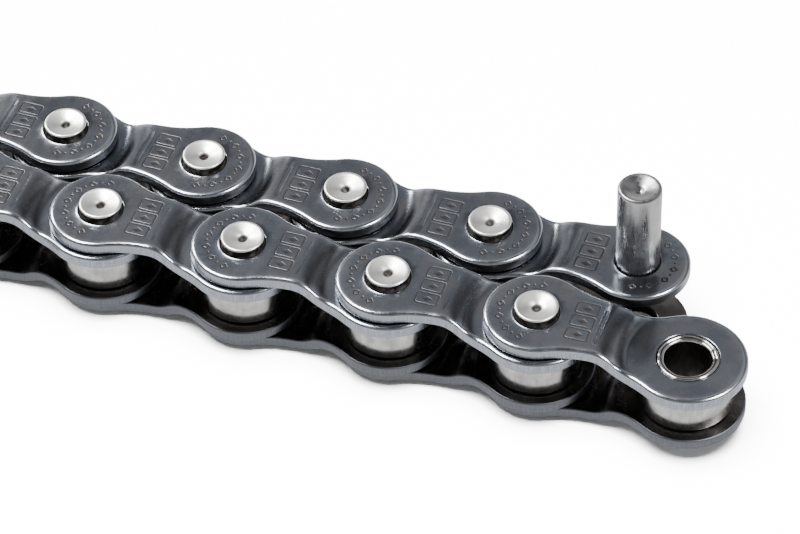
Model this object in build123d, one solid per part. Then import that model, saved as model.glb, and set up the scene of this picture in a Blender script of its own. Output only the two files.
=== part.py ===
from build123d import *
import math
import os

# A short length of half-link bicycle drive chain lying on its side, folded back on
# itself: a front strand, a four-link turn and a back strand nested against the front
# one. Every half link is one pair of cranked side plates, one pin pressed through the
# wide end, one bush pressed through the narrow end and one loose roller on the bush.
# Millimetres, +Z up. The pins and bushes stand upright, X runs along the strands.

# Driving dimensions of a 1/2 x 1/8 inch chain
PITCH = 12.7
LINKS = 14
PLATE_T = 1.05
INNER_HALF_WIDTH = 1.80
PLATE_GAP = 0.10
OUTER_END_R = 4.35
INNER_END_R = 4.85
WAIST_HALF = 3.05
CRANK_START = 5.20
CRANK_LENGTH = 2.75

PIN_R = 1.82
PIN_LENGTH = 9.50
PIN_CHAMFER = 0.22
DIMPLE_R = 0.75
DIMPLE_DEPTH = 0.35
BUSH_R = 2.55
BUSH_BORE_R = 1.90
BUSH_PROUD = 0.02
ROLLER_R = 3.875
ROLLER_BORE_R = 2.61
ROLLER_END_GAP = 0.08
JOINING_HOLE_R = 1.86

# How the length is laid out
STRAND_LINKS = 5
ROW_SPACING = 8.10
ROW_STAGGER = 6.67
TURN_IN_HEADING = 235.0
TURN_OUT_HEADING = 10.0
JOINING_PIN_LIFT = 7.55

# Derived heights above the chain's middle plane
INNER_MID = INNER_HALF_WIDTH + PLATE_T / 2
OUTER_MID = INNER_MID + PLATE_T + PLATE_GAP
BUSH_LENGTH = 2 * (INNER_HALF_WIDTH + PLATE_T + BUSH_PROUD)
ROLLER_LENGTH = 2 * (INNER_HALF_WIDTH - ROLLER_END_GAP)


def step_from(point, heading, length=PITCH):
    """The point one length away from point, along a heading in degrees."""
    angle = math.radians(heading)
    return (point[0] + length * math.cos(angle), point[1] + length * math.sin(angle))


def meeting_point(a, b, reach):
    """The point at the same reach from a and b, on the left of the way from a to b."""
    middle = ((a[0] + b[0]) / 2, (a[1] + b[1]) / 2)
    apart = math.dist(a, b)
    height = math.sqrt(reach**2 - apart**2 / 4)
    return (middle[0] - (b[1] - a[1]) / apart * height,
            middle[1] + (b[0] - a[0]) / apart * height)


def pivot_points():
    """Every pivot from the free bush, along the front strand, round the turn and back."""
    front = [(PITCH * (1 - i), 0.0) for i in range(STRAND_LINKS + 1)]
    back_start = -ROW_STAGGER - PITCH * (STRAND_LINKS - 1)
    back = [(back_start + PITCH * i, ROW_SPACING) for i in range(STRAND_LINKS + 1)]
    turn_first = step_from(front[-1], TURN_IN_HEADING)
    turn_last = step_from(back[0], TURN_OUT_HEADING + 180)
    turn_middle = meeting_point(turn_first, turn_last, PITCH)
    points = front + [turn_first, turn_middle, turn_last] + back
    # Centre the whole length on the origin: every pivot but the last carries a narrow
    # end, which is the larger of the two ends.
    reach = [INNER_END_R] * LINKS + [OUTER_END_R]
    low = [min(p[k] - r for p, r in zip(points, reach)) for k in (0, 1)]
    high = [max(p[k] + r for p, r in zip(points, reach)) for k in (0, 1)]
    middle = [(a + b) / 2 for a, b in zip(low, high)]
    return [(p[0] - middle[0], p[1] - middle[1]) for p in points]


def waist_arc():
    """Centre and radius of the hollow arc that touches both round ends and the waist."""
    # From (x, WAIST_HALF + r): distance to the pin is OUTER_END_R + r, distance to the
    # bush is INNER_END_R + r. Subtracting the two gives x as a line in r.
    low, high = 1.0, 60.0
    for _ in range(80):
        r = (low + high) / 2
        x = (PITCH**2 + (OUTER_END_R + r)**2 - (INNER_END_R + r)**2) / (2 * PITCH)
        miss = math.hypot(x, WAIST_HALF + r) - (OUTER_END_R + r)
        if miss > 0:
            low = r
        else:
            high = r
    return x, r


def plan_outline():
    """Plate outline seen from above, pin at the origin, bush one pitch along X."""
    x, r = waist_arc()
    ends = Circle(OUTER_END_R) + Pos(PITCH, 0) * Circle(INNER_END_R)
    start = x * OUTER_END_R / (OUTER_END_R + r)
    stop = PITCH - (PITCH - x) * INNER_END_R / (INNER_END_R + r)
    top_start = (WAIST_HALF + r) * OUTER_END_R / (OUTER_END_R + r)
    top_stop = (WAIST_HALF + r) * INNER_END_R / (INNER_END_R + r)
    web = make_face(Polyline((start, -top_start), (start, top_start), (stop, top_stop),
                             (stop, -top_stop), (start, -top_start)))
    for side in (1, -1):
        web -= Pos(x, side * (WAIST_HALF + r)) * Circle(r)
    return ends + web


def crank_profile():
    """Side view of the upper plate: high at the pin, low at the bush, an S between."""
    drop = OUTER_MID - INNER_MID
    bend_r = (CRANK_LENGTH**2 + drop**2) / (4 * drop)
    bend = math.degrees(math.asin(CRANK_LENGTH / (2 * bend_r)))
    half = PLATE_T / 2
    crank_end = CRANK_START + CRANK_LENGTH
    left = -OUTER_END_R - 1
    right = PITCH + INNER_END_R + 1
    upper = (CRANK_START, OUTER_MID - bend_r)
    lower = (crank_end, INNER_MID + bend_r)
    with BuildSketch(Plane.XZ) as profile:
        with BuildLine():
            Line((left, OUTER_MID + half), (CRANK_START, OUTER_MID + half))
            CenterArc(upper, bend_r + half, 90, -bend)
            CenterArc(lower, bend_r - half, 270 - bend, bend)
            Line((crank_end, INNER_MID + half), (right, INNER_MID + half))
            Line((right, INNER_MID + half), (right, INNER_MID - half))
            Line((right, INNER_MID - half), (crank_end, INNER_MID - half))
            CenterArc(lower, bend_r + half, 270 - bend, bend)
            CenterArc(upper, bend_r - half, 90, -bend)
            Line((CRANK_START, OUTER_MID - half), (left, OUTER_MID - half))
            Line((left, OUTER_MID - half), (left, OUTER_MID + half))
        make_face()
    return profile.sketch


def side_plates(pin_hole_r):
    """Upper and lower side plates of one half link, as two separate solids."""
    width = 2 * INNER_END_R + 2
    blank = extrude(crank_profile(), amount=width / 2, both=True)
    plan = plan_outline() - Circle(pin_hole_r) - Pos(PITCH, 0) * Circle(BUSH_R)
    upper = blank & extrude(plan, amount=PIN_LENGTH)
    upper = upper.solids()[0]
    return [upper, mirror(upper, about=Plane.XY)]


def pin_solid(middle_z=0.0):
    """A plain pin, chamfered at both ends, with a shallow conical staking dimple."""
    pin = Cylinder(PIN_R, PIN_LENGTH)
    pin = chamfer(pin.edges(), PIN_CHAMFER)
    for end in (1, -1):
        dimple = Cone(0.05, DIMPLE_R, DIMPLE_DEPTH)
        turned = dimple if end > 0 else Rot(180, 0, 0) * dimple
        pin -= Pos(0, 0, end * (PIN_LENGTH - DIMPLE_DEPTH) / 2) * turned
    return Pos(0, 0, middle_z) * pin


def ring(outer_r, inner_r, length):
    """A plain sleeve about the Z axis."""
    return Cylinder(outer_r, length) - Cylinder(inner_r, length)


def write(name, shapes):
    """Write one node, lifted so that the lower pin ends stand at Z = 0."""
    lifted = [Pos(0, 0, PIN_LENGTH / 2) * shape for shape in shapes]
    shape = lifted[0] if len(lifted) == 1 else Compound(children=lifted)
    export_step(shape, f"parts/{name}.step")


def main():
    os.makedirs("parts", exist_ok=True)
    pivots = pivot_points()
    pressed_plates = side_plates(PIN_R)
    joining_plates = side_plates(JOINING_HOLE_R)
    bush = ring(BUSH_R, BUSH_BORE_R, BUSH_LENGTH)
    roller = ring(ROLLER_R, ROLLER_BORE_R, ROLLER_LENGTH)
    for number in range(1, LINKS + 1):
        bush_at = pivots[number - 1]
        pin_at = pivots[number]
        heading = math.degrees(math.atan2(bush_at[1] - pin_at[1], bush_at[0] - pin_at[0]))
        last = number == LINKS
        plates = joining_plates if last else pressed_plates
        at_pin = Pos(pin_at[0], pin_at[1], 0)
        at_bush = Pos(bush_at[0], bush_at[1], 0)
        link = f"link_{number:02d}"
        write(f"{link}_side_plates", [at_pin * Rot(0, 0, heading) * p for p in plates])
        write(f"{link}_bush", [at_bush * bush])
        write(f"{link}_roller", [at_bush * roller])
        if last:
            write("joining_pin", [at_pin * pin_solid(JOINING_PIN_LIFT)])
        else:
            write(f"{link}_pin", [at_pin * pin_solid()])


main()
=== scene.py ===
import itertools
import math
import random

import bmesh
import bpy
from mathutils import Matrix, Vector
from mathutils.geometry import delaunay_2d_cdt


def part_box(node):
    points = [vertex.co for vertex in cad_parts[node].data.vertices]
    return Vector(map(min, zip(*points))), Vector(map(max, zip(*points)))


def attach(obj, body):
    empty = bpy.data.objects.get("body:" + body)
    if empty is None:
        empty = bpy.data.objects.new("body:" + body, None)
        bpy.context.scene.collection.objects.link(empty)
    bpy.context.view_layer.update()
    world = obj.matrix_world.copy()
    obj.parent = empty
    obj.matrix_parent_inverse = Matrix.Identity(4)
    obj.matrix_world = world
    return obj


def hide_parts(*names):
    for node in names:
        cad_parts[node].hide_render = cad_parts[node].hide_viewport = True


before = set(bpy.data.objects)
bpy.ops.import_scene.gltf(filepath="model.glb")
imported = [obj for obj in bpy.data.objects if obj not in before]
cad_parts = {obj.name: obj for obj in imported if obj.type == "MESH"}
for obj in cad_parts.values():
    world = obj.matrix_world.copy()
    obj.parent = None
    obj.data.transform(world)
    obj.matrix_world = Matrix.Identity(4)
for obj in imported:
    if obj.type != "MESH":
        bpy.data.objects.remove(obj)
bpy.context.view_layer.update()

MM = 0.001
MERGE_MM = 1e-4
SAME_POINT_MM = 1e-5
LINKS = 14

# Sizes of one half link, millimetres, measured from its pin towards its bush.
PITCH = 12.7
PLATE_T = 1.05
INNER_MID = 2.325
OUTER_MID = 3.475
OUTER_END_R = 4.35
INNER_END_R = 4.85
WAIST_HALF = 3.05
CRANK_START = 5.15
CRANK_REACH = 4.75
CRANK_HALF = 3.6
PIN_HOLE_R = 1.82
JOINING_HOLE_R = 1.86
BUSH_R = 2.55
BUSH_BORE_R = 1.90
ROLLER_BORE_R = 2.61

# The upper rim's rounding, inward and downward, and the under rim's, millimetres.
ROLL_IN = 0.40
ROLL_DOWN = 0.26
UNDER_ROUND = 0.14

# How finely circles and rims are cut.
HOLE_STEPS = 72
ARC_STEPS = 36
ROLL_STEPS = 8
UNDER_STEPS = 4
LATHE_STEPS = 96
ROLLER_STEPS = 128
CORNER_STEPS = 4


def millimetre_box(node):
    """Lowest and highest corner of a CAD node, in millimetres."""
    low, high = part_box(node)
    return low / MM, high / MM


def centre_of(node):
    """Middle of a CAD node's box, in millimetres."""
    low, high = millimetre_box(node)
    return (low + high) / 2


MID_HEIGHT = centre_of("link_01_bush").z


# ---------------------------------------------------------------- mesh helpers

class Builder:
    """Collects vertices and faces in millimetres, with two painted values per vertex: wear, and a
    darkening that is mostly painted shade.
    """

    def __init__(self):
        self.verts, self.faces, self.mats = [], [], []
        self.wear, self.grime, self.uvs = [], [], []

    def vertex(self, x, y, z, wear, grime, uv):
        self.verts.append((x, y, z))
        self.wear.append(wear)
        self.grime.append(grime)
        self.uvs.append(uv)
        return len(self.verts) - 1

    def face(self, corners, material):
        self.faces.append(tuple(corners))
        self.mats.append(material)

    def strip(self, row_a, row_b, material):
        """Quads between two closed rows of the same length."""
        count = len(row_a)
        for i in range(count):
            j = (i + 1) % count
            self.face((row_a[i], row_a[j], row_b[j], row_b[i]), material)

    def mesh(self, name, materials):
        """Makes the mesh in metres, with its painted values, UVs and smooth shading."""
        mesh = bpy.data.meshes.new(name)
        scaled = [tuple(c * MM for c in v) for v in self.verts]
        mesh.from_pydata(scaled, [], self.faces)
        for material in materials:
            mesh.materials.append(material)
        mesh.polygons.foreach_set("material_index", self.mats)
        for label, values in (("wear", self.wear), ("grime", self.grime)):
            layer = mesh.attributes.new(label, "FLOAT", "POINT")
            layer.data.foreach_set("value", values)
        layer = mesh.uv_layers.new(name="UVMap")
        for loop in mesh.loops:
            layer.data[loop.index].uv = self.uvs[loop.vertex_index]
        work = bmesh.new()
        work.from_mesh(mesh)
        bmesh.ops.remove_doubles(work, verts=work.verts, dist=MERGE_MM * MM)
        bmesh.ops.recalc_face_normals(work, faces=work.faces)
        work.to_mesh(mesh)
        work.free()
        mesh.polygons.foreach_set("use_smooth", [True] * len(mesh.polygons))
        mesh.update()
        return mesh


def lathe(name, profile, materials, segments, wobble=None, seam=None):
    """Turns a profile of (radius, height, material, grime) about Z.

    A wobble moves each point by its angle. A seam sinks one line of the side: it is
    the radius that this starts beyond, and the depth.
    """
    build = Builder()
    rows = []
    run = 0.0
    for k, (r, z, _, grime) in enumerate(profile):
        if k:
            run += math.dist((r, z), profile[k - 1][:2])
        row = []
        for i in range(segments):
            angle = 2 * math.pi * i / segments
            radius, height = r, z
            if wobble:
                radius, height = wobble(r, z, angle)
            if seam and i == 0 and r > seam[0]:
                radius -= seam[1]
            uv = (angle * max(r, 0.2), run)
            row.append(build.vertex(radius * math.cos(angle), radius * math.sin(angle),
                                    height, 0.0, grime, uv))
        rows.append(row)
    for k in range(len(rows) - 1):
        build.strip(rows[k], rows[k + 1], profile[k][2])
    return build.mesh(name, materials)


def add_object(name, mesh, body, node, matrix):
    """Places one piece on its body, in the stead of its CAD node."""
    piece = bpy.data.objects.new(name, mesh)
    bpy.context.scene.collection.objects.link(piece)
    piece.matrix_world = matrix
    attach(piece, body)
    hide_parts(node)


# ---------------------------------------------------------------- plate shape

def waist_arc():
    """Centre x and radius of the hollow arc that joins the two round ends."""
    low, high = 1.0, 60.0
    for _ in range(80):
        r = (low + high) / 2
        x = (PITCH**2 + (OUTER_END_R + r)**2 - (INNER_END_R + r)**2) / (2 * PITCH)
        if math.hypot(x, WAIST_HALF + r) > OUTER_END_R + r:
            low = r
        else:
            high = r
    return x, r


WAIST_X, WAIST_R = waist_arc()
WAIST_Y = WAIST_HALF + WAIST_R


def outline(inset):
    """Points (x, y, run) round the plate, moved in by inset."""
    outer_from = math.atan2(WAIST_Y, WAIST_X)
    inner_from = math.atan2(WAIST_Y, WAIST_X - PITCH)
    first = math.atan2(WAIST_Y, -WAIST_X)
    last = math.atan2(WAIST_Y, PITCH - WAIST_X)
    waist_r = WAIST_R + inset
    arcs = ((0.0, 0.0, OUTER_END_R - inset, outer_from, 2 * math.pi - 2 * outer_from, HOLE_STEPS),
            (WAIST_X, -WAIST_Y, waist_r, first, last - first, ARC_STEPS),
            (PITCH, 0.0, INNER_END_R - inset, -inner_from, 2 * inner_from, HOLE_STEPS),
            (WAIST_X, WAIST_Y, waist_r, -last, last - first, ARC_STEPS))
    points = [(x + radius * math.cos(start + sweep * i / steps),
               y + radius * math.sin(start + sweep * i / steps))
              for x, y, radius, start, sweep, steps in arcs for i in range(steps)]
    run = [0.0]
    for here, ahead in zip(points, points[1:]):
        run.append(run[-1] + math.dist(here, ahead))
    return [(x, y, travelled) for (x, y), travelled in zip(points, run)]


def inside_distance(x, y):
    """How far a point is inside the plate's outline; below zero outside."""
    ends = max(OUTER_END_R - math.hypot(x, y), INNER_END_R - math.hypot(x - PITCH, y))
    low = WAIST_X * OUTER_END_R / (OUTER_END_R + WAIST_R)
    high = PITCH - (PITCH - WAIST_X) * INNER_END_R / (INNER_END_R + WAIST_R)
    if low < x < high:
        return math.hypot(x - WAIST_X, abs(y) - WAIST_Y) - WAIST_R
    return ends


def smooth_step(a, b, t):
    """Rises smoothly from 0 at a to 1 at b."""
    t = min(1.0, max(0.0, (t - a) / (b - a)))
    return t * t * (3 - 2 * t)


def crank_span(y):
    """Where the crank starts and ends along X: the foot curves round the bush's end."""
    y = max(-CRANK_HALF, min(CRANK_HALF, y))
    return CRANK_START + 0.012 * y * y, PITCH - math.sqrt(CRANK_REACH**2 - y * y * 0.8)


def crank_height(x, y, side):
    """Height of the plate's upper (side 1) or under (side -1) face."""
    start, end = crank_span(y)
    drop = OUTER_MID - INNER_MID
    run = end - start
    bend_r = (run * run + drop * drop) / (4 * drop)
    sine = run / (2 * bend_r)
    half = side * PLATE_T / 2
    if x <= start:
        return OUTER_MID + half
    if x >= end:
        return INNER_MID + half
    if x - start <= (bend_r + half) * sine:
        return OUTER_MID - bend_r + math.sqrt((bend_r + half)**2 - (x - start)**2)
    return INNER_MID + bend_r - math.sqrt((bend_r - half)**2 - (end - x)**2)


SLOPE_DIRT_AND_SHADE = 0.62
SLOPE_PROBE = 0.05


def slope_dirt_and_shade(x, y):
    """Darkens the steep part of the crank, away from the rubbed rims: partly an oil film, partly
    painted shade.
    """
    rise = crank_height(x + SLOPE_PROBE, y, 1) - crank_height(x - SLOPE_PROBE, y, 1)
    steep = smooth_step(0.10, 0.42, abs(rise) / (2 * SLOPE_PROBE))
    return SLOPE_DIRT_AND_SHADE * steep * smooth_step(0.4, 1.3, inside_distance(x, y))


COINED_X, COINED_WIDTH, COINED_DEPTH = 5.42, 0.13, 0.05


def coined_groove(x, y):
    """The punch's shallow groove across the crank's shoulder."""
    along = math.exp(-((x - COINED_X) / COINED_WIDTH)**2)
    return COINED_DEPTH * along * (1 - smooth_step(1.3, 2.3, abs(y)))


# ---------------------------------------------------------------- stamped marks

STAMP_DEPTH = 0.035
GROOVE = 0.075
SHOULDER = 0.03
# The stamps' groove walls and floors are painted dark as shade.
STAMP_WALL_SHADE = 0.85
CORNER_POINTS = 5
FRAME_X, FRAME_Y, FRAME_SPACING = 3.84, 0.15, 1.48
RING_R, RING_MARKS, RING_START, RING_SPACING = 3.05, 13, 98, 13.5


def rounded_loop(half_x, half_y, corner):
    """Loop of a rounded rectangle about the origin."""
    corner = max(0.02, min(corner, half_x, half_y))
    loop = []
    for quarter in range(4):
        sx = 1 if quarter in (0, 3) else -1
        sy = 1 if quarter in (0, 1) else -1
        for i in range(CORNER_POINTS):
            angle = math.pi / 2 * (quarter + i / (CORNER_POINTS - 1))
            loop.append((sx * (half_x - corner) + corner * math.cos(angle),
                         sy * (half_y - corner) + corner * math.sin(angle)))
    return loop


def grooved(half_x, half_y, corner):
    """An outlined rounded rectangle, as loops of (points, depth, darkening): the groove is painted
    dark as shade.
    """
    floor_half = GROOVE * 0.4
    steps = ((GROOVE + SHOULDER, 0.0, 0.0), (GROOVE, 0.0, STAMP_WALL_SHADE), (floor_half, 1.0, 1.0),
             (-floor_half, 1.0, 1.0), (-GROOVE, 0.0, STAMP_WALL_SHADE), (-GROOVE - SHOULDER, 0.0, 0.0))
    return [(rounded_loop(half_x + d, half_y + d, corner + d), depth, darkening)
            for d, depth, darkening in steps]


def pitted(half_x, half_y, corner):
    """A filled rounded rectangle pressed into the face, its pit painted dark as shade."""
    steps = ((SHOULDER, 0.0, 0.0), (0.0, 0.0, STAMP_WALL_SHADE), (-0.045, 1.0, 1.0))
    return [(rounded_loop(half_x + d, half_y + d, corner + d), depth, darkening)
            for d, depth, darkening in steps]


def placed(loops, x, y, turn=0.0, stretch=1.0):
    """Loops turned, then drawn out along X, then moved to (x, y)."""
    c, s = math.cos(turn), math.sin(turn)
    return [([(x + stretch * (c * a - s * b), y + s * a + c * b) for a, b in loop], depth, darkening)
            for loop, depth, darkening in loops]


def plate_marks():
    """Three plain framed diamonds by the crank, and diamonds and dots round the pin."""
    marks = []
    for k in (-1, 0, 1):
        y = FRAME_Y + FRAME_SPACING * k
        marks += placed(grooved(0.92, 0.60, 0.18), FRAME_X, y)
        marks += placed(pitted(0.19, 0.19, 0.03), FRAME_X, y, math.pi / 4, 1.9)
    for k in range(RING_MARKS):
        angle = math.radians(RING_START + k * RING_SPACING)
        x, y = RING_R * math.cos(angle), RING_R * math.sin(angle)
        if k % 2:
            marks += placed(pitted(0.11, 0.11, 0.11), x, y, angle)
        else:
            marks += placed(grooved(0.20, 0.20, 0.06), x, y, angle + math.pi / 4)
    return marks


def near_marks(x, y):
    """Whether a point lies in the block of frames or in the ring of marks."""
    block = 2.72 < x < 4.96 and -2.15 < y < 2.45
    ring = 2.6 < math.hypot(x, y) < 3.5 and math.degrees(abs(math.atan2(y, x))) > 95
    return block or ring


# ---------------------------------------------------------------- plate mesh

def grid(x, x_end, step_x, y_start, y_end, step_y):
    """Points over a stretch of the plate, column by column; step_x(x) is a column's width."""
    while x < x_end:
        y = y_start
        while y < y_end:
            yield x, y
            y += step_y
        x += step_x(x)


def plate_points():
    """Loose points: closely spaced over the crank, and sparse over the flat ends."""
    crank = grid(5.0, 9.6, lambda x: 0.045 if x < 5.9 else 0.11, -3.4, 3.5, 0.2)
    whole = grid(-4.0, 17.5, lambda x: 0.55, -4.6, 4.7, 0.55)
    return itertools.chain(crank, (p for p in whole if not 4.9 < p[0] < 9.7))


def circle(centre, radius):
    """Points round a hole whose middle is at x = centre, y = 0."""
    return [(centre + radius * math.cos(2 * math.pi * i / HOLE_STEPS),
             radius * math.sin(2 * math.pi * i / HOLE_STEPS)) for i in range(HOLE_STEPS)]


# Round the holes: distance out from the hole's wall, and how far the face is sunk there.
PIN_LIP = ((0.0, 0.08), (0.05, -0.01), (0.12, -0.05), (0.20, -0.03), (0.30, 0.0))
BUSH_RECESS = ((0.0, 0.10), (0.05, 0.02), (0.12, 0.0), (0.2, 0.0))
HOLE_WALL_SINK = 0.10
LIP_CREST, LIP_RUBBED, LIP_WEAR = 0.12, 0.05, 0.3


def face_rows(build, hole_r, side):
    """Triangulates one face of the plate, from the rounding's inner line to the holes."""
    round_r = ROLL_IN if side > 0 else UNDER_ROUND
    points, depth, darkening, edges = [], [], [], []

    def add_points(new, sunk, darkened):
        points.extend(Vector(p) for p in new)
        depth.extend([sunk] * len(new))
        darkening.extend([darkened] * len(new))

    def loop(ring, sunk, darkened):
        first, count = len(points), len(ring)
        add_points(ring, sunk, darkened)
        edges.extend((first + i, first + (i + 1) % count) for i in range(count))

    def clear(x, y):
        return (inside_distance(x, y) > round_r + 0.14
                and math.hypot(x, y) > hole_r + 0.45
                and math.hypot(x - PITCH, y) > BUSH_R + 0.3
                and not (side > 0 and near_marks(x, y)))

    for inset in (round_r, round_r + 0.07):
        loop([p[:2] for p in outline(inset)], 0.0, 0.0)
    for centre, radius, steps in ((0.0, hole_r, PIN_LIP), (PITCH, BUSH_R, BUSH_RECESS)):
        for out, sunk in steps:
            # The hole's edge is painted dark.
            loop(circle(centre, radius + out), sunk if side > 0 else 0.0,
                 1.0 if out == 0.0 else 0.0)
    if side > 0:
        for ring, level, darkened in plate_marks():
            loop(ring, level * STAMP_DEPTH, darkened)
    add_points([p for p in plate_points() if clear(*p)], 0.0, 0.0)
    verts, _, faces, origin, _, _ = delaunay_2d_cdt(points, edges, [], 0, SAME_POINT_MM)
    index = []
    for v, source in zip(verts, origin):
        d, grime = (depth[source[0]], darkening[source[0]]) if source else (0.0, 0.0)
        z = crank_height(v.x, v.y, side) - d
        if side > 0:
            z -= coined_groove(v.x, v.y)
        rim = inside_distance(v.x, v.y)
        # The crank's slope is darkened: partly oil, partly painted shade.
        grime = max(grime, slope_dirt_and_shade(v.x, v.y))
        wear = max(0.0, 1 - (rim - round_r) / 0.10)
        if abs(math.hypot(v.x, v.y) - hole_r - LIP_CREST) < LIP_RUBBED:
            wear = LIP_WEAR
        index.append(build.vertex(v.x, v.y, z, wear, grime, (v.x, v.y)))
    for face in faces:
        cx = sum(verts[i].x for i in face) / len(face)
        cy = sum(verts[i].y for i in face) / len(face)
        in_hole = math.hypot(cx, cy) < hole_r or math.hypot(cx - PITCH, cy) < BUSH_R
        if inside_distance(cx, cy) >= round_r and not in_hole:
            build.face([index[i] for i in face], 0 if side > 0 else 2)


def edge_rows(build):
    """The rounded rims and the sheared wall round the outside of the plate."""
    levels = []
    for k in range(ROLL_STEPS + 1):
        angle = math.radians(90 * k / ROLL_STEPS)
        levels.append((ROLL_IN * (1 - math.sin(angle)), ROLL_DOWN * (1 - math.cos(angle)), 1))
    for k in range(UNDER_STEPS + 1):
        angle = math.radians(90 - 90 * k / UNDER_STEPS)
        levels.append((UNDER_ROUND * (1 - math.sin(angle)),
                       UNDER_ROUND * (1 - math.cos(angle)), -1))
    previous = None
    for number, (inset, sink, side) in enumerate(levels):
        row = []
        for x, y, run in outline(inset):
            z = crank_height(x, y, side) - side * sink
            if side > 0:
                z -= coined_groove(x, y)
            wear = 1.0 if number < ROLL_STEPS else 0.5
            row.append(build.vertex(x, y, z, wear, 0.0, (run, z)))
        if previous:
            build.strip(previous, row, 1 if number >= ROLL_STEPS else 0)
        previous = row


def hole_walls(build, hole_r):
    """The walls of the pin hole and the bush hole, painted dark all round."""
    for centre, radius in ((0.0, hole_r), (PITCH, BUSH_R)):
        rows = []
        for side, sink in ((1, HOLE_WALL_SINK), (-1, 0.0)):
            row = []
            for i, (x, y) in enumerate(circle(centre, radius)):
                z = crank_height(x, y, side) - side * sink
                run = 2 * math.pi * i / HOLE_STEPS * radius
                row.append(build.vertex(x, y, z, 0.0, 1.0, (run, z)))
            rows.append(row)
        build.strip(rows[0], rows[1], 0)


def plate_pair(name, hole_r, materials):
    """Upper plate, and the same plate turned over about the length for the lower one.

    The lower plate's rims are painted dark all round as shade, and the upper plate's edge is painted
    dark as shade on the side that faces into the folded chain.
    """
    build = Builder()
    face_rows(build, hole_r, 1)
    face_rows(build, hole_r, -1)
    edge_rows(build)
    hole_walls(build, hole_r)
    count = len(build.verts)
    for x, y, z in list(build.verts):
        build.verts.append((x, -y, -z))
    build.wear += build.wear[:]
    build.grime += build.grime[:]
    for k, (x, y, z) in enumerate(build.verts):
        rim = inside_distance(x, y)
        # Painted shade: the lower plate's rims, darkened all round.
        if z < 0 and rim < ROLL_IN:
            build.grime[k] = 0.7
            build.wear[k] = 0.2
        # Painted shade: the upper edge, darker on the side that faces into the fold.
        elif rim < 0.02:
            build.grime[k] = smooth_step(0.6, 2.2, y)
    build.uvs += build.uvs[:]
    build.faces += [tuple(i + count for i in f) for f in build.faces]
    build.mats += build.mats[:]
    return build.mesh(name, materials)


# ---------------------------------------------------------------- materials

NOISE_ROUGHNESS = 0.55


class Nodes:
    """A short way to write a node material.

    Patterns in object space are shifted by a random amount from piece to piece.
    """

    def __init__(self, name):
        self.material = bpy.data.materials.new(name)
        self.material.use_nodes = True
        self.tree = self.material.node_tree
        self.shader = self.tree.nodes["Principled BSDF"]
        self.shader.inputs["Metallic"].default_value = 1.0
        coords = self.new("ShaderNodeTexCoord")
        info = self.new("ShaderNodeObjectInfo")
        shift = self.new("ShaderNodeVectorMath", operation="SCALE")
        shift.inputs[0].default_value = (0.31, 0.17, 0.23)
        self.link(info.outputs["Random"], shift.inputs["Scale"])
        place = self.new("ShaderNodeVectorMath", operation="ADD")
        self.link(coords.outputs["Object"], place.inputs[0])
        self.link(shift.outputs[0], place.inputs[1])
        self.object_space = coords.outputs["Object"]
        self.place = place.outputs[0]
        self.random = info.outputs["Random"]
        self.uv = coords.outputs["UV"]

    def new(self, kind, **settings):
        node = self.tree.nodes.new(kind)
        for key, value in settings.items():
            setattr(node, key, value)
        return node

    def link(self, a, b):
        self.tree.links.new(a, b)

    def noise(self, scale, detail, stretch=None, vector=None):
        source = vector or self.place
        if stretch:
            mapping = self.new("ShaderNodeMapping")
            mapping.inputs["Scale"].default_value = stretch
            self.link(source, mapping.inputs["Vector"])
            source = mapping.outputs[0]
        node = self.new("ShaderNodeTexNoise")
        node.inputs["Scale"].default_value = scale
        node.inputs["Detail"].default_value = detail
        node.inputs["Roughness"].default_value = NOISE_ROUGHNESS
        self.link(source, node.inputs["Vector"])
        return node.outputs["Fac"]

    def spread(self, value, low, high, to_low=0.0, to_high=1.0):
        node = self.new("ShaderNodeMapRange")
        node.inputs["From Min"].default_value = low
        node.inputs["From Max"].default_value = high
        node.inputs["To Min"].default_value = to_low
        node.inputs["To Max"].default_value = to_high
        self.link(value, node.inputs["Value"])
        return node.outputs[0]

    def maths(self, a, b, operation="ADD"):
        node = self.new("ShaderNodeMath", operation=operation)
        for socket, value in zip(node.inputs, (a, b)):
            if isinstance(value, (int, float)):
                socket.default_value = value
            else:
                self.link(value, socket)
        return node.outputs[0]

    def mix(self, amount, a, b):
        node = self.new("ShaderNodeMix", data_type="RGBA")
        self.link(amount, node.inputs[0])
        for socket, value in zip((node.inputs[6], node.inputs[7]), (a, b)):
            if isinstance(value, tuple):
                socket.default_value = (*value, 1)
            else:
                self.link(value, socket)
        return node.outputs[2]

    def painted(self, name):
        node = self.new("ShaderNodeAttribute", attribute_name=name)
        return node.outputs["Fac"]

    def bump(self, height, distance_mm, strength, under=None):
        node = self.new("ShaderNodeBump")
        node.inputs["Distance"].default_value = distance_mm * MM
        node.inputs["Strength"].default_value = strength
        self.link(height, node.inputs["Height"])
        if under:
            self.link(under, node.inputs["Normal"])
        return node.outputs[0]

    def finish(self, colour, roughness, normal):
        self.link(colour, self.shader.inputs["Base Color"])
        self.link(roughness, self.shader.inputs["Roughness"])
        self.link(normal, self.shader.inputs["Normal"])
        return self.material


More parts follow.
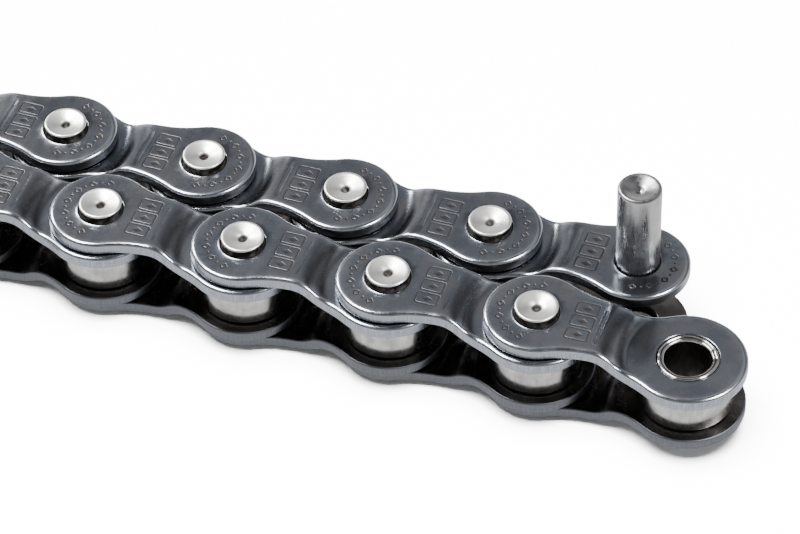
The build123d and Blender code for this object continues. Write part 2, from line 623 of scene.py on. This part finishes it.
def plate_face_material():
    """Blued steel, rubbed at the rims, with smears, and darkened where painted: mostly painted shade,
    partly oil on the crank slopes.
    """
    n = Nodes("blued_plate_face")
    broad = n.noise(240, 3)
    fine = n.noise(5200, 2)
    smear = n.noise(900, 3, stretch=(1.0, 0.25, 1.0))
    colour = n.mix(n.spread(broad, 0.35, 0.65), (0.158, 0.174, 0.203), (0.222, 0.234, 0.256))
    warm = n.spread(n.noise(420, 2), 0.56, 0.74, 0.0, 0.5)
    colour = n.mix(warm, colour, (0.235, 0.212, 0.208))
    colour = n.mix(n.spread(fine, 0.52, 0.75, 0.0, 0.20), colour, (0.36, 0.37, 0.39))
    rubbed = n.maths(n.painted("wear"), n.spread(smear, 0.3, 0.7, 0.7, 1.0), "MULTIPLY")
    colour = n.mix(n.maths(rubbed, 0.7, "MULTIPLY"), colour, (0.46, 0.49, 0.53))
    # The painted darkening: painted shade on the stamps, the lower rims and the edges facing into the
    # fold, dark hole edges, and partly oil on the crank slopes.
    grime = n.painted("grime")
    colour = n.mix(n.maths(grime, 0.9, "MULTIPLY"), colour, (0.014, 0.011, 0.010))
    roughness = n.maths(n.spread(smear, 0.3, 0.7, 0.13, 0.20), n.spread(fine, 0.3, 0.7, 0, 0.03))
    roughened_where_dark = n.maths(n.maths(grime, 4.0, "POWER"), 0.5, "MULTIPLY")
    roughness = n.maths(roughness, roughened_where_dark)
    normal = n.bump(fine, 0.0015, 0.3, n.bump(broad, 0.05, 0.16))
    return n.finish(colour, roughness, normal)


def plate_inner_material():
    """The faces between the plates, dark under a film of oil and as painted shade between the plates.
    """
    n = Nodes("oiled_inner_face")
    film = n.noise(420, 4)
    fine = n.noise(3800, 2)
    # These dark tones are partly an oil film and partly painted shade in the gap between the plates.
    colour = n.mix(n.spread(film, 0.35, 0.7), (0.070, 0.066, 0.064), (0.150, 0.142, 0.138))
    colour = n.mix(n.spread(n.noise(190, 2), 0.55, 0.75, 0.0, 0.6), colour, (0.120, 0.092, 0.070))
    roughness = n.spread(film, 0.3, 0.7, 0.16, 0.34)
    return n.finish(colour, roughness, n.bump(fine, 0.003, 0.3))


def plate_edge_material():
    """The sheared wall, with lines across the plate's thickness and dark specks."""
    n = Nodes("sheared_plate_edge")
    lines = n.noise(9.0, 2, stretch=(1.0, 0.06, 1.0), vector=n.uv)
    specks = n.noise(5.0, 3, vector=n.uv)
    colour = n.mix(n.spread(lines, 0.35, 0.65), (0.20, 0.216, 0.244), (0.30, 0.32, 0.36))
    colour = n.mix(n.spread(specks, 0.55, 0.72, 0.0, 0.55), colour, (0.16, 0.17, 0.19))
    # The painted darkening here is painted shade: on the lower plate's rims and on the upper edge
    # facing into the fold.
    grime = n.painted("grime")
    colour = n.mix(n.maths(grime, 0.92, "MULTIPLY"), colour, (0.030, 0.028, 0.028))
    roughness = n.maths(n.spread(lines, 0.3, 0.7, 0.24, 0.34), n.maths(grime, 0.2, "MULTIPLY"))
    return n.finish(colour, roughness, n.bump(lines, 0.004, 0.4))


def turned_material(name, colour, dark, roughness, rings, matt):
    """Bright steel cut on a lathe: faint rings round the axis."""
    n = Nodes(name)
    split = n.new("ShaderNodeSeparateXYZ")
    n.link(n.object_space, split.inputs[0])
    flat = n.new("ShaderNodeCombineXYZ")
    n.link(split.outputs["X"], flat.inputs["X"])
    n.link(split.outputs["Y"], flat.inputs["Y"])
    length = n.new("ShaderNodeVectorMath", operation="LENGTH")
    n.link(flat.outputs[0], length.inputs[0])
    radial = n.new("ShaderNodeCombineXYZ")
    n.link(length.outputs["Value"], radial.inputs["X"])
    n.link(n.random, radial.inputs["Y"])
    ring_value = n.noise(9000, 2, vector=radial.outputs[0])
    patch = n.noise(650, 3)
    tone = n.mix(n.spread(patch, 0.38, 0.7, 0.0, 0.55), colour, dark)
    tone = n.mix(n.spread(ring_value, 0.45, 0.75, 0.0, 0.5), tone, dark)
    # Painted darkening: painted shade in the pin's dimple and under its head; on the bush, its groove
    # and side painted dark.
    dirt_and_shade_amount = n.maths(n.painted("grime"), n.spread(n.noise(1500, 2), 0.36, 0.56, 0.88, 1.0), "MULTIPLY")
    tone = n.mix(dirt_and_shade_amount, tone, (0.020, 0.016, 0.013))
    rough = n.spread(patch, 0.3, 0.7, roughness * 0.85, roughness * 1.2)
    rough = n.maths(rough, n.maths(n.painted("grime"), matt, "MULTIPLY"))
    return n.finish(tone, rough, n.bump(ring_value, 0.004, rings))


def ground_material(name, colour, dark, roughness, bump=0.35):
    """Bright steel with fine lines along the axis and dull patches."""
    n = Nodes(name)
    grain = n.noise(3600, 3, stretch=(1.0, 1.0, 0.10))
    patch = n.noise(900, 4)
    blot = n.noise(260, 2)
    tone = n.mix(n.spread(patch, 0.35, 0.68, 0.0, 0.7), colour, dark)
    tone = n.mix(n.spread(grain, 0.45, 0.72, 0.0, 0.45), tone, dark)
    tone = n.mix(n.spread(blot, 0.55, 0.75, 0.0, 0.4), tone, (0.34, 0.31, 0.28))
    rough = n.spread(grain, 0.3, 0.7, roughness * 0.8, roughness * 1.3)
    return n.finish(tone, rough, n.bump(grain, 0.003, bump))


FACE = plate_face_material()
EDGE = plate_edge_material()
INNER = plate_inner_material()
PIN = turned_material("turned_pin", (0.93, 0.92, 0.90), (0.52, 0.50, 0.47), 0.30, 0.7, 0.35)
ROLLER = ground_material("ground_roller", (0.46, 0.45, 0.44), (0.17, 0.17, 0.17), 0.20, 0.6)
# The bore's dark colour is partly oil and partly painted shade inside the bush.
BORE = ground_material("oiled_bore", (0.050, 0.046, 0.042), (0.02, 0.018, 0.016), 0.45)
BUSH = turned_material("polished_bush", (0.66, 0.65, 0.63), (0.36, 0.34, 0.33), 0.11, 0.3, 0.05)
LONG_PIN = ground_material("grey_joining_pin", (0.37, 0.37, 0.38), (0.26, 0.26, 0.26), 0.27, 0.1)


# ---------------------------------------------------------------- turned pieces

# The bush is this much slimmer than its hole, so that its burr stays inside.
BURR_ROOM = 0.03
SEAM_DEPTH = 0.05


def pin_profile(radius, half):
    """From the middle of one end to the middle of the other.

    The rows are radius, height from the end face, and painted shade: dark in the punched dimple and
    under the head.
    """
    top = [(0.0, -0.66, 1.0), (0.14, -0.62, 1.0), (0.30, -0.45, 1.0), (0.40, -0.34, 0.8),
           (0.52, -0.275, 0.1), (0.9, -0.17, 0.0), (1.3, -0.07, 0.0), (1.50, -0.02, 0.0),
           (1.60, 0.0, 0.0), (1.70, -0.01, 0.0), (1.77, -0.05, 0.0), (radius - 0.02, -0.11, 0.1),
           (radius - 0.03, -0.17, 0.5), (radius - 0.10, -0.24, 1.0), (radius - 0.14, -0.32, 1.0),
           (radius - 0.14, -0.76, 1.0), (radius, -0.86, 0.9)]
    upper = [(r, half + z, 0, grime) for r, z, grime in top]
    lower = [(r, -half - z, 0, grime) for r, z, grime in reversed(top)]
    return upper + lower


def joining_pin_profile(radius, half):
    """A plain shank with a softened edge and a dished, centre-punched end."""
    top = [(0.0, -0.58), (0.14, -0.54), (0.34, -0.38), (0.50, -0.30), (0.75, -0.24),
           (1.10, -0.13), (1.36, -0.04), (1.50, -0.005), (1.60, 0.0), (1.69, -0.03),
           (1.76, -0.09), (radius - 0.02, -0.17), (radius, -0.26)]
    upper = [(r, half + z, 0, 0.0) for r, z in top]
    lower = [(r, -half - z, 0, 0.0) for r, z in reversed(top)]
    return upper + lower


def ring_profile(outer, inner, half, round_outer, round_inner):
    """A sleeve's section as a closed line, with rounded corners."""
    corners = ((outer, half, round_outer, 0), (outer, -half, round_outer, 270),
               (inner, -half, round_inner, 180), (inner, half, round_inner, 90))
    line = []
    for r, z, round_r, first in corners:
        toward_r = r - round_r if r == outer else r + round_r
        toward_z = z - round_r if z > 0 else z + round_r
        for i in range(CORNER_STEPS + 1):
            angle = math.radians(first + 90 - 90 * i / CORNER_STEPS)
            line.append((toward_r + round_r * math.cos(angle),
                         toward_z + round_r * math.sin(angle)))
    line.append(line[0])
    return [(r, z, 0, 0.0) for r, z in line]


def bush_profile(outer, inner, half):
    """The bush's section: bright bevelled ends with a groove painted dark, and a bore painted dark as
    oil and as shade.

    The rows are radius, height from the end face, and how dark it is painted.
    """
    end = ((outer, -0.44, 0.9), (outer, -0.18, 0.6), (outer - 0.03, -0.09, 0.0),
           (outer - 0.09, -0.025, 0.0), (outer - 0.17, 0.0, 0.0), (outer - 0.24, -0.015, 0.1),
           (outer - 0.29, -0.065, 0.9), (inner + 0.26, -0.07, 0.9), (inner + 0.20, -0.045, 0.1),
           (inner + 0.09, -0.10, 0.0), (inner + 0.03, -0.20, 0.2), (inner, -0.38, 0.0))
    upper = [(r, half + z, 1 if r == inner else 0, grime) for r, z, grime in end]
    lower = [(r, -half - z, 0, grime) for r, z, grime in reversed(end)]
    return upper + lower + [upper[0]]


def burr(r, z, angle):
    """The bush's end is slightly uneven where it was pressed and reamed."""
    wave = math.sin(3 * angle + 0.7) + 0.6 * math.sin(7 * angle + 2.1)
    wave += 0.5 * math.sin(13 * angle)
    outward = 0.020 if r > (BUSH_R + BUSH_BORE_R) / 2 else 0.012
    return r + outward * wave, z + 0.012 * wave * math.sin(angle * 5)


def turned_size(node):
    """Radius and half the length of an upright CAD node."""
    low, high = millimetre_box(node)
    return (high.x - low.x) / 2, (high.z - low.z) / 2


def build_turned():
    """The meshes that the links share: pin, joining pin, bush and roller."""
    pin_size = turned_size("link_01_pin")
    _, bush_half = turned_size("link_01_bush")
    roller_r, roller_half = turned_size("link_01_roller")
    pin = lathe("pin", pin_profile(*pin_size), [PIN], LATHE_STEPS)
    long_pin = lathe("joining_pin", joining_pin_profile(*pin_size), [LONG_PIN], LATHE_STEPS)
    bush = lathe("bush", bush_profile(BUSH_R - BURR_ROOM, BUSH_BORE_R, bush_half), [BUSH, BORE],
                 LATHE_STEPS, wobble=burr)
    roller_section = ring_profile(roller_r, ROLLER_BORE_R, roller_half, 0.22, 0.12)
    roller = lathe("roller", roller_section, [ROLLER], ROLLER_STEPS,
                   seam=(roller_r - 0.3, SEAM_DEPTH))
    return pin, long_pin, bush, roller


def build_chain():
    """Every half link, from the one with the free bush to the one with the joining pin."""
    pin_mesh, long_pin_mesh, bush_mesh, roller_mesh = build_turned()
    plates = plate_pair("side_plates", PIN_HOLE_R, [FACE, EDGE, INNER])
    last_plates = plate_pair("last_side_plates", JOINING_HOLE_R, [FACE, EDGE, INNER])
    draw = random.Random(7)
    for number in range(1, LINKS + 1):
        link = f"link_{number:02d}"
        last = number == LINKS
        bush_at = centre_of(f"{link}_bush")
        pin_at = centre_of("joining_pin" if last else f"{link}_pin")
        heading = math.atan2(bush_at.y - pin_at.y, bush_at.x - pin_at.x)
        at_pin = Matrix.Translation(Vector((pin_at.x, pin_at.y, MID_HEIGHT)) * MM)
        at_bush = Matrix.Translation(Vector((bush_at.x, bush_at.y, MID_HEIGHT)) * MM)
        facing = Matrix.Rotation(heading, 4, "Z")
        spin = Matrix.Rotation(draw.uniform(0, 2 * math.pi), 4, "Z")
        add_object(f"plates_{number:02d}", last_plates if last else plates, link,
                   f"{link}_side_plates", at_pin @ facing)
        add_object(f"bush_{number:02d}", bush_mesh, link, f"{link}_bush",
                   at_bush @ spin)
        spin = Matrix.Rotation(draw.uniform(0, 2 * math.pi), 4, "Z")
        add_object(f"roller_{number:02d}_piece", roller_mesh, f"roller_{number:02d}",
                   f"{link}_roller", at_bush @ spin)
        if last:
            add_object("joining_pin_piece", long_pin_mesh, "joining_pin",
                       "joining_pin", Matrix.Translation(pin_at * MM))
        else:
            add_object(f"pin_{number:02d}", pin_mesh, link, f"{link}_pin",
                       at_pin @ spin)


# ---------------------------------------------------------------- stage

SHEET_WHITE = 0.93
SHEET_GREY = 0.105
SHEET_SIZE = 3.0

# Upward part of the direction looked in, and how bright the world is there.
SKY = ((0.20, 0.85), (0.30, 0.42), (0.42, 0.33), (0.54, 0.09), (0.63, 0.15), (0.73, 0.40),
       (0.85, 0.28), (0.94, 0.06))
SKY_STRENGTH = 1.5

# Name, place, width and height in metres, and watts. Last comes whether the sheet is left
# out or is all that the lamp lights.
PANELS = (("right_box", (0.27, 0.05, 0.45), 0.12, 0.14, 3.0, "EXCLUDE"),
          ("left_box", (-0.20, 0.09, 0.46), 0.14, 0.15, 3.8, "EXCLUDE"),
          ("back_box", (-0.31, 0.21, 0.31), 0.09, 0.10, 1.5, "EXCLUDE"),
          ("sheet_box", (0.02, -0.05, 0.48), 0.34, 0.34, 46, "INCLUDE"))

# Degrees: round from the front, above the horizon, and about the line of sight.
CAMERA_AZIMUTH, CAMERA_ELEVATION, CAMERA_ROLL = 21.06, 45.415, -2.084
CAMERA_FROM_FIRST_PIN = (60.02, -186.07, 207.76)
LENS_MM = 157.76
SENSOR_MM = 36.0
CLIP_START = 0.01


def build_floor():
    """A white sheet, about nine times as bright to the camera as to the steel above it."""
    material = bpy.data.materials.new("white_sheet")
    material.use_nodes = True
    tree = material.node_tree
    tree.nodes.clear()
    ray = tree.nodes.new("ShaderNodeLightPath")
    tone = tree.nodes.new("ShaderNodeMapRange")
    tone.inputs["To Min"].default_value = SHEET_GREY
    tone.inputs["To Max"].default_value = SHEET_WHITE
    sheet = tree.nodes.new("ShaderNodeBsdfDiffuse")
    output = tree.nodes.new("ShaderNodeOutputMaterial")
    tree.links.new(ray.outputs["Is Camera Ray"], tone.inputs["Value"])
    tree.links.new(tone.outputs[0], sheet.inputs["Color"])
    tree.links.new(sheet.outputs[0], output.inputs["Surface"])
    mesh = bpy.data.meshes.new("floor")
    work = bmesh.new()
    bmesh.ops.create_grid(work, x_segments=1, y_segments=1, size=SHEET_SIZE)
    work.to_mesh(mesh)
    work.free()
    mesh.materials.append(material)
    floor = bpy.data.objects.new("floor", mesh)
    bpy.context.scene.collection.objects.link(floor)
    return floor


def build_world():
    """Bright at the horizon and darker above, with one paler band below a dark ceiling."""
    world = bpy.data.worlds.new("studio")
    world.use_nodes = True
    tree = world.node_tree
    background = tree.nodes["Background"]
    coords = tree.nodes.new("ShaderNodeTexCoord")
    split = tree.nodes.new("ShaderNodeSeparateXYZ")
    ramp = tree.nodes.new("ShaderNodeValToRGB")
    stops = ramp.color_ramp.elements
    stops[0].position, stops[0].color = 0.0, (1.0, 1.0, 1.0, 1)
    stops[1].position, stops[1].color = 1.0, (0.05, 0.05, 0.05, 1)
    for height, level in SKY:
        stops.new(height).color = (level, level, level * 1.03, 1)
    tree.links.new(coords.outputs["Generated"], split.inputs[0])
    tree.links.new(split.outputs["Z"], ramp.inputs["Fac"])
    tree.links.new(ramp.outputs["Color"], background.inputs["Color"])
    background.inputs["Strength"].default_value = SKY_STRENGTH
    bpy.context.scene.world = world


def lit_by(lamp, state, things):
    """Lets a lamp light only these things, or everything but these."""
    group = bpy.data.collections.new(lamp.name + "_linked")
    for number, thing in enumerate(things):
        group.objects.link(thing)
        group.collection_objects[number].light_linking.link_state = state
    lamp.light_linking.receiver_collection = group


def softbox(name, place, width, height, power):
    """A flat white lamp that looks at the origin."""
    light = bpy.data.lights.new(name, "AREA")
    light.shape = "RECTANGLE"
    light.size = width
    light.size_y = height
    light.energy = power
    lamp = bpy.data.objects.new(name, light)
    bpy.context.scene.collection.objects.link(lamp)
    lamp.location = place
    lamp.rotation_euler = (-Vector(place)).to_track_quat("-Z", "Y").to_euler()
    return lamp


def build_lamps(sheet):
    """Three lamps for the chain and one for the sheet.

    The right one leaves out the joining pin too, whose mirror image in the plate below
    it would be too bright.
    """
    for name, place, width, height, power, state in PANELS:
        things = [sheet]
        if name == "right_box":
            things.append(bpy.data.objects["joining_pin_piece"])
        lit_by(softbox(name, place, width, height, power), state, things)


def build_camera():
    """Looks down the strands from the front right, from about 0.29 m."""
    azimuth, elevation, roll = (
        math.radians(a) for a in (CAMERA_AZIMUTH, CAMERA_ELEVATION, CAMERA_ROLL))
    first_pin = centre_of("link_01_pin") * MM
    camera_data = bpy.data.cameras.new("camera")
    camera_data.lens = LENS_MM
    camera_data.sensor_width = SENSOR_MM
    camera_data.clip_start = CLIP_START
    camera = bpy.data.objects.new("camera", camera_data)
    bpy.context.scene.collection.objects.link(camera)
    forward = Vector((-math.sin(azimuth) * math.cos(elevation),
                      math.cos(azimuth) * math.cos(elevation), -math.sin(elevation)))
    right = forward.cross(Vector((0, 0, 1))).normalized()
    up = right.cross(forward)
    turned_right = math.cos(roll) * right + math.sin(roll) * up
    turned_up = -math.sin(roll) * right + math.cos(roll) * up
    turn = Matrix((turned_right, turned_up, -forward)).transposed().to_4x4()
    place = first_pin + Vector(CAMERA_FROM_FIRST_PIN) * MM
    camera.matrix_world = Matrix.Translation(place) @ turn
    bpy.context.scene.camera = camera


build_chain()
build_world()
build_lamps(build_floor())
build_camera()
